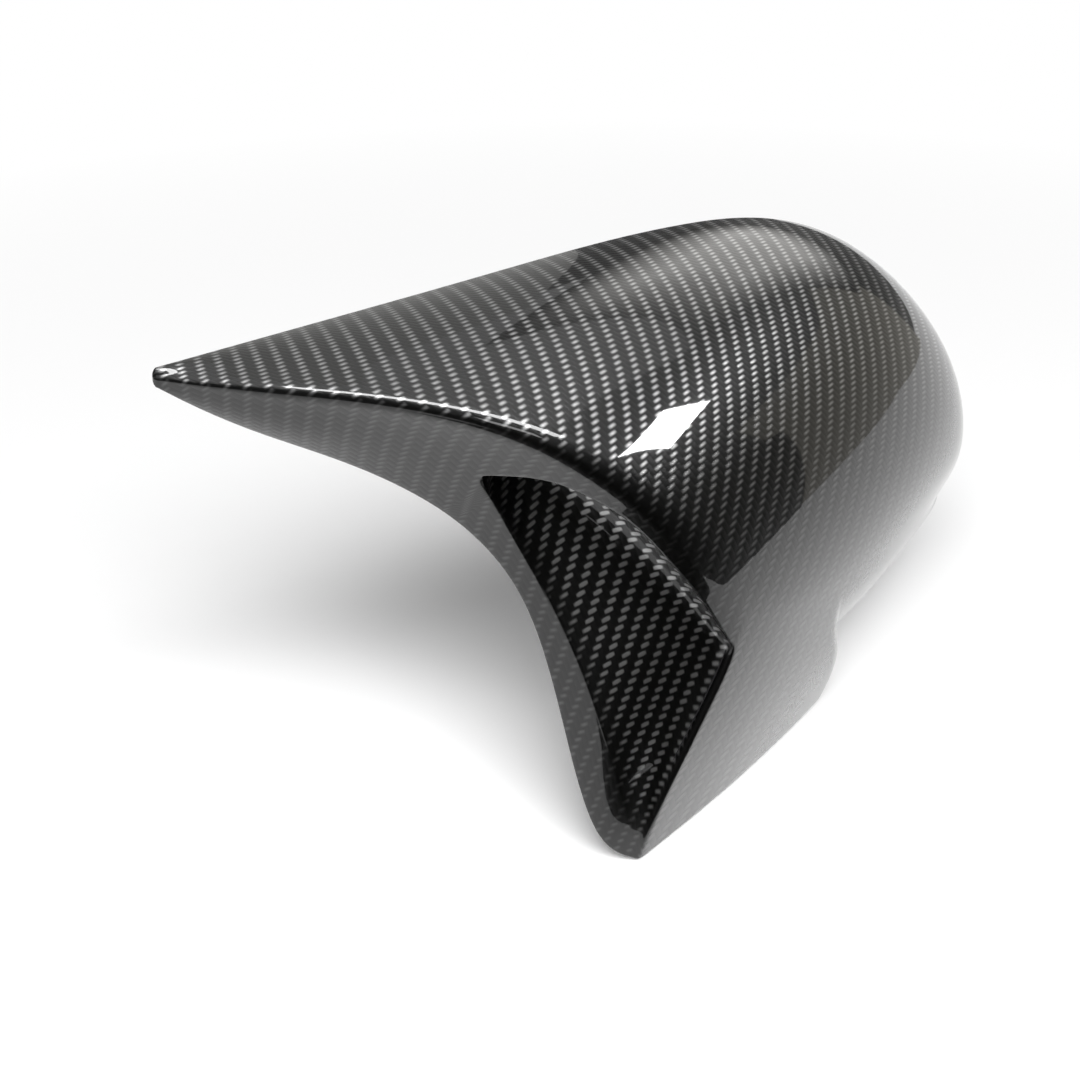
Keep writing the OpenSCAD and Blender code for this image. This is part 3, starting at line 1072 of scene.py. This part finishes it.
class COVER_OT_stage(bpy.types.Operator):
    """Lay the floor, hang the lamps and set the camera"""

    bl_idname = "cover.stage"
    bl_label = "Stage"

    def execute(self, context):
        scene = context.scene
        look = scene.studio_look
        self.floor(scene, look)
        self.lamps(scene, look)
        self.wide_window(scene, look)
        for name, (colour, posts) in CARDS.items():
            self.card(scene, name, colour, posts)
        (west, south), (east, north) = MAT
        self.sheet(scene, "dark_mat", self.card_material("dark_mat", DARK_CARD),
            [(west, south, CARD_FOOT), (east, south, CARD_FOOT), (east, north, CARD_FOOT),
                (west, north, CARD_FOOT)], [(0, 1, 2, 3)])
        self.world(scene)
        self.camera(scene, look)
        scene.view_settings.view_transform = "Standard"
        return {"FINISHED"}

    def sheet(self, scene, name, material, corners, faces, reflected_only=True):
        """Flat piece of the stage."""
        mesh = bpy.data.meshes.new(name)
        mesh.from_pydata(corners, [], faces)
        mesh.materials.append(material)
        sheet = bpy.data.objects.new(name, mesh)
        if reflected_only:
            sheet.visible_camera = sheet.visible_shadow = sheet.visible_diffuse = False
        scene.collection.objects.link(sheet)
        return sheet

    def floor(self, scene, look):
        """Pale floor that keeps the cover's shadow and is white further off."""
        s = Shader("pale_floor")
        paint = s.node("ShaderNodeBsdfDiffuse", {}, named={"Color": (*look.floor_colour, 1)})
        glow = s.node("ShaderNodeEmission", {}, named={"Color": (1, 1, 1, 1), "Strength": 1.0})
        camera_ray = s.node("ShaderNodeLightPath", {}).output("Is Camera Ray")
        seen = camera_ray
        for ray in ("Is Glossy Ray", "Is Transmission Ray"):
            seen = seen.larger(camera_ray.output(ray))
        place = s.node("ShaderNodeTexCoord", {}, out=3)
        away = s.node("ShaderNodeVectorMath", {"operation": "LENGTH"}, place, out=1)
        far = ((away - SHADE_REACH) / SHADE_FADE).larger(0.0).smaller(1.0)
        white = seen * (FLOOR_GLOW + (1 - FLOOR_GLOW) * far)
        material = s.finish(s.node("ShaderNodeMixShader", {}, white, paint, glow))
        corners = [(x * FLOOR_HALF, y * FLOOR_HALF, FLOOR_HEIGHT)
            for x, y in ((-1, -1), (1, -1), (1, 1), (-1, 1))]
        self.sheet(scene, "floor", material, corners, [(0, 1, 2, 3)], reflected_only=False)

    def lamp(self, scene, name, place, size, power, facing=None, gloss=True, diffuse=True):
        """Rectangular lamp that faces the cover unless its turn is given."""
        light = bpy.data.lights.new(name, "AREA")
        light.shape = "RECTANGLE"
        light.size, light.size_y = size
        light.energy = power
        lamp = bpy.data.objects.new(name, light)
        lamp.location = place
        lamp.rotation_euler = facing or facing_cover(place, "-Z")
        lamp.visible_camera = False
        lamp.visible_glossy = gloss
        lamp.visible_diffuse = diffuse
        scene.collection.objects.link(lamp)

    def lamps(self, scene, look):
        """The key lamp lays the shadow; the others shine on the clear coat alone."""
        self.lamp(scene, "ceiling", CEILING_PLACE, (3.0, 2.4), look.ceiling_power,
            facing=(0, 0, 0), diffuse=False)
        self.lamp(scene, "front", FRONT_PLACE, (0.6, 0.6), look.front_power, diffuse=False)
        self.lamp(scene, "key", heading(*KEY_WAY), (2.4, 1.5), look.key_power, gloss=False)
        self.lamp(scene, "window", heading(*WINDOW_WAY), (0.16, 0.2), look.window_power,
            diffuse=False)
        along = Vector(STRIP_ALONG).normalized()
        back = (Vector(STRIP_PLACE) - Vector(COVER_MIDDLE)).normalized()
        side = back.cross(along).normalized()
        turned = Matrix((along, side, along.cross(side))).transposed().to_euler()
        self.lamp(scene, "strip", STRIP_PLACE, (1.5, 0.35), look.strip_power, facing=turned,
            diffuse=False)

    def wide_window(self, scene, look):
        """Wide window behind the cover, whose light falls off to its edges."""
        s = Shader("window_glow")
        place = s.node("ShaderNodeSeparateXYZ", {}, s.node("ShaderNodeTexCoord", {}, out=3))
        level = look.wide_glow
        for axis, half in enumerate(WIDE_WINDOW_HALF):
            edge = (1 - abs(place.output(axis)) / half) * WIDE_WINDOW_EDGE
            level = level * edge.smaller(1.0)
        glow = s.node("ShaderNodeEmission", {},
            named={"Color": (1, 0.99, 0.96, 1), "Strength": level})
        wide, high = WIDE_WINDOW_HALF
        window = self.sheet(scene, "wide_window", s.finish(glow),
            [(-wide, -high, 0), (wide, -high, 0), (wide, high, 0), (-wide, high, 0)],
            [(0, 1, 2, 3)])
        window.location = heading(*WIDE_WINDOW_WAY)
        window.rotation_euler = facing_cover(window.location, "-Z")

    def card_material(self, name, colour):
        """Plain glow that the coat reflects."""
        s = Shader(name)
        return s.finish(s.node("ShaderNodeEmission", {}, named={"Color": colour}))

    def card(self, scene, name, colour, posts):
        """Standing card between posts on the floor."""
        feet = [(x, y, CARD_FOOT) for x, y, top in posts]
        n = len(posts)
        faces = [(i, i + 1, n + i + 1, n + i) for i in range(n - 1)]
        self.sheet(scene, name, self.card_material(name, colour), feet + posts, faces)

    def world(self, scene):
        """Dim even light from all round."""
        world = bpy.data.worlds.new("studio")
        world.use_nodes = True
        back = world.node_tree.nodes["Background"]
        back.inputs["Color"].default_value = (1, 1, 1, 1)
        back.inputs["Strength"].default_value = WORLD_GLOW
        scene.world = world

    def camera(self, scene, look):
        """Camera in which the upper horn's tip falls on its pixel."""
        turn, tilt = math.radians(VIEW_TURN), math.radians(VIEW_TILT)
        data = bpy.data.cameras.new("camera")
        data.sensor_width = SENSOR
        data.lens = look.focal_length
        data.clip_start, data.clip_end = 0.02, 50
        camera = bpy.data.objects.new("camera", data)
        right = Vector((math.cos(turn), -math.sin(turn), 0))
        level = math.cos(tilt)
        ahead = Vector((math.sin(turn) * level, math.cos(turn) * level, -math.sin(tilt)))
        above = right.cross(ahead)
        tip = Vector(HORN_TIP) * MM - Vector(seat(Shell(scene.cover_sizes))) * MM
        pixels = PICTURE * look.focal_length / SENSOR
        across = (TIP_PIXEL[0] - PICTURE / 2) / pixels
        up = (PICTURE / 2 - TIP_PIXEL[1]) / pixels
        place = tip - TIP_DISTANCE * (ahead + across * right + up * above)
        camera.matrix_world = Matrix((
            (right.x, above.x, -ahead.x, place.x),
            (right.y, above.y, -ahead.y, place.y),
            (right.z, above.z, -ahead.z, place.z),
            (0, 0, 0, 1),
        ))
        scene.collection.objects.link(camera)
        scene.camera = camera


class COVER_PT_panel(bpy.types.Panel):
    """Lists the pieces of the cover"""

    bl_label = "Mirror Cover"
    bl_idname = "COVER_PT_panel"
    bl_space_type = "VIEW_3D"
    bl_region_type = "UI"
    bl_category = "Mirror Cover"

    def draw(self, context):
        for step in STEPS:
            self.layout.operator(step.bl_idname)


STEPS = (COVER_OT_shell, COVER_OT_tabs, COVER_OT_stage)
GROUPS = {
    "cover_sizes": CoverSizes,
    "cloth_look": ClothLook,
    "tab_sizes": TabSizes,
    "studio_look": StudioLook,
}


def register():
    for group in GROUPS.values():
        bpy.utils.register_class(group)
    for step in (*STEPS, COVER_PT_panel):
        bpy.utils.register_class(step)
    for name, group in GROUPS.items():
        setattr(bpy.types.Scene, name, PointerProperty(type=group))


def unregister():
    for name in GROUPS:
        delattr(bpy.types.Scene, name)
    for step in (COVER_PT_panel, *reversed(STEPS)):
        bpy.utils.unregister_class(step)
    for group in reversed(list(GROUPS.values())):
        bpy.utils.unregister_class(group)


def main():
    register()
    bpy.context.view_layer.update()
    bpy.ops.cover.shell()
    bpy.ops.cover.tabs()
    bpy.ops.cover.stage()


if __name__ == "__main__":
    main()
